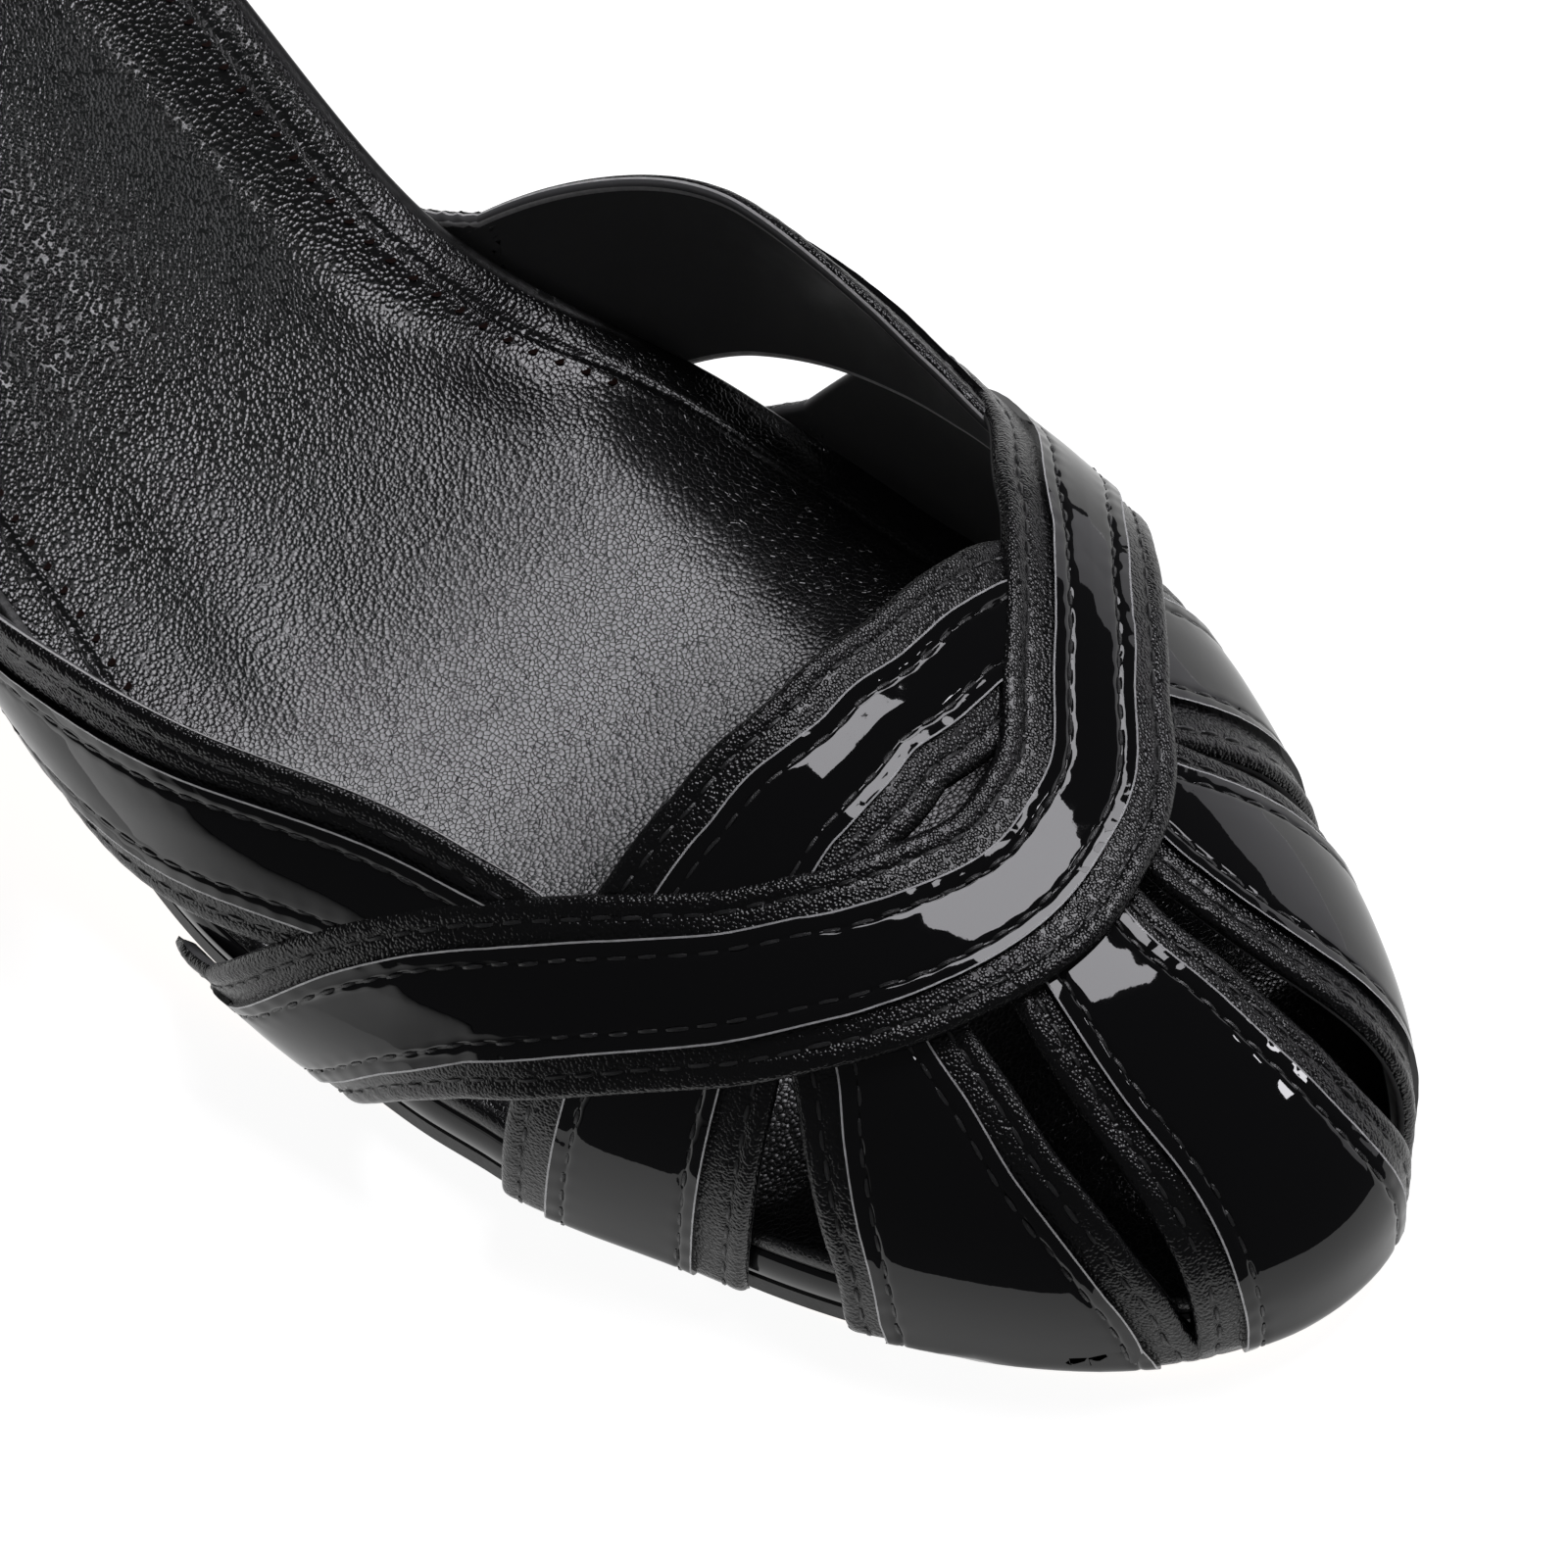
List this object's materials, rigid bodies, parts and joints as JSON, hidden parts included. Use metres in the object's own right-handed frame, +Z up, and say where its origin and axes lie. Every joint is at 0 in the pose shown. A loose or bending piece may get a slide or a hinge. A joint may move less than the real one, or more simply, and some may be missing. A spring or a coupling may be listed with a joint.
{
  "type": "leather pump",
  "caption": "Black round-toe pump with crossing patent-faced nappa straps, padded insole, closed heel counter and slim covered heel.",
  "frame": {"origin": "on the floor, under the ball of the foot, on the flat of the tread", "axes": "+X from heel to toe, +Y to the wearer's left (the lateral side of this left shoe), +Z up"},
  "size_m": [0.2213, 0.0883, 0.113],
  "materials": {
    "nappa": "grained black nappa, low sheen",
    "patent": "black patent leather, high gloss",
    "insole_nappa": "padded black nappa, low sheen",
    "sole_leather": "tan sole leather with a black edge",
    "heel_cover": "glossy black heel cover",
    "rubber": "matt black rubber"
  },
  "bodies": {
    "root": {"upper": "nappa", "heel_counter": "nappa", "patent_front": "patent", "patent_throat": "patent", "patent_toe_medial_outer": "patent", "patent_toe_medial_inner": "patent", "patent_toe_middle": "patent", "patent_toe_lateral_inner": "patent", "patent_toe_lateral_outer": "patent", "patent_side_medial": "patent", "patent_side_lateral": "patent", "midsole_rim": "patent", "insole": "insole_nappa", "outsole": "sole_leather", "heel": "heel_cover", "top_piece": "rubber"}
  },
  "joints": []
}
